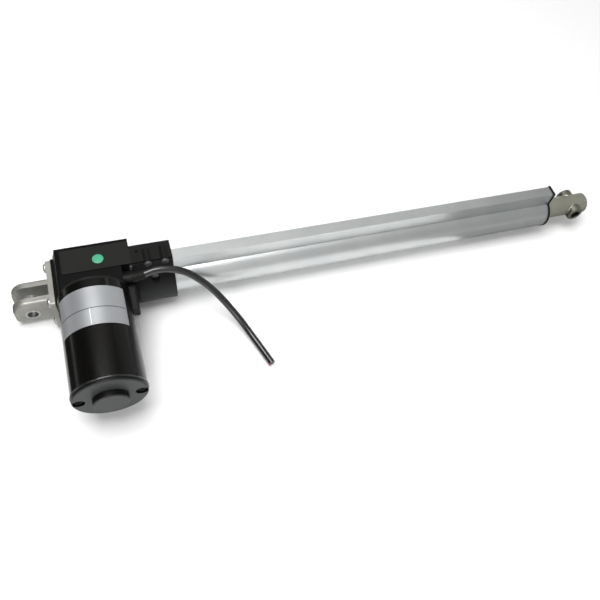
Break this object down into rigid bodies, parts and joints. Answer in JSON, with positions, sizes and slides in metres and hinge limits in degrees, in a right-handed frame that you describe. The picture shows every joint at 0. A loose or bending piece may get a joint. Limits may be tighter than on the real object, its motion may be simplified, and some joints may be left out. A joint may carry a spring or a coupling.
{
  "type": "electric linear actuator",
  "caption": "Electric linear actuator: a side-mounted worm-gear motor drives a lead screw that slides a steel rod out of a keyhole-shaped aluminium tube between two pivot eyes.",
  "frame": {"origin": "centre of the rear pivot hole, midway between the clevis ears", "axes": "+X runs parallel to the tube toward the rod end, the motor hangs toward -Y, +Z points to the side of the tube that carries the switch channel"},
  "size_m": [0.623, 0.1575, 0.0815],
  "materials": {
    "clevis_casting": "satin",
    "zinc_steel": "satin",
    "black_oxide_steel": "satin",
    "bronze": "satin",
    "black_housing_plastic": "matte",
    "anodised_aluminium": "satin",
    "black_cap_plastic": "matte",
    "wiper_rubber": "matte",
    "guide_plastic": "matte",
    "rod_steel": "satin",
    "nut_plastic": "matte",
    "cam_plastic": "matte",
    "board_laminate": "satin",
    "switch_plastic": "satin",
    "screw_steel": "satin",
    "wheel_plastic": "satin",
    "bearing_steel": "polished",
    "ground_steel": "polished",
    "lamination_steel": "satin",
    "enamelled_copper": "satin",
    "commutator_copper": "satin",
    "black_gloss_paint": "gloss",
    "cap_plastic_grey": "satin",
    "ferrite": "matte",
    "brush_plate_laminate": "matte",
    "carbon": "matte",
    "terminal_plastic": "matte",
    "gland_plastic": "matte",
    "cord_pvc": "gloss"
  },
  "bodies": {
    "frame": {"rear_clevis": "clevis_casting", "pivot_bushes": "zinc_steel", "clevis_screws": "zinc_steel", "housing_back": "black_housing_plastic", "housing_front": "black_housing_plastic", "housing_screws": "black_oxide_steel", "outer_tube": "anodised_aluminium", "front_cap": "black_cap_plastic", "rod_wiper": "wiper_rubber", "guide_bush": "guide_plastic", "switch_board": "board_laminate", "limit_switches": "switch_plastic", "outer_races": "bearing_steel", "motor_can": "black_gloss_paint", "motor_end_cap": "cap_plastic_grey", "through_bolts": "black_oxide_steel", "motor_bush": "bronze", "worm_bushes": "bronze", "motor_magnets": "ferrite", "brush_plate": "brush_plate_laminate", "brushes": "carbon", "terminal_cover": "terminal_plastic", "cable_gland": "gland_plastic", "power_cord": "cord_pvc"},
    "rod": {"piston_rod": "rod_steel", "rod_end_bush": "rod_steel", "rod_end_plug": "rod_steel", "drive_nut": "nut_plastic", "nut_pins": "zinc_steel", "switch_cam": "cam_plastic"},
    "screw": {"lead_screw": "screw_steel", "worm_wheel": "wheel_plastic", "wheel_key": "zinc_steel", "inner_races": "bearing_steel", "screw_locknut": "zinc_steel", "screw_stop": "zinc_steel"},
    "rotor": {"worm_shaft": "ground_steel", "armature_core": "lamination_steel", "armature_windings": "enamelled_copper", "commutator": "commutator_copper"}
  },
  "joints": [
    {"name": "rotor_spin", "type": "hinge", "parent": "frame", "child": "rotor", "pos_m": [0.058, -0.075, 0.034], "axis": [0, -1, 0], "range_deg": [0, 1368000]},
    {"name": "screw_spin", "type": "hinge", "parent": "frame", "child": "screw", "pos_m": [0.058, 0, 0.009], "axis": [-1, 0, 0], "range_deg": [0, 36000]},
    {"name": "rod_slide", "type": "slide", "parent": "frame", "child": "rod", "axis": [1, 0, 0], "range_m": [0, 0.4]}
  ],
  "couplings": [
    {"joint": "screw_spin", "follows": "rotor_spin", "ratio": 0.026316},
    {"joint": "rod_slide", "follows": "rotor_spin", "m_per_rad": 0.000016753}
  ]
}
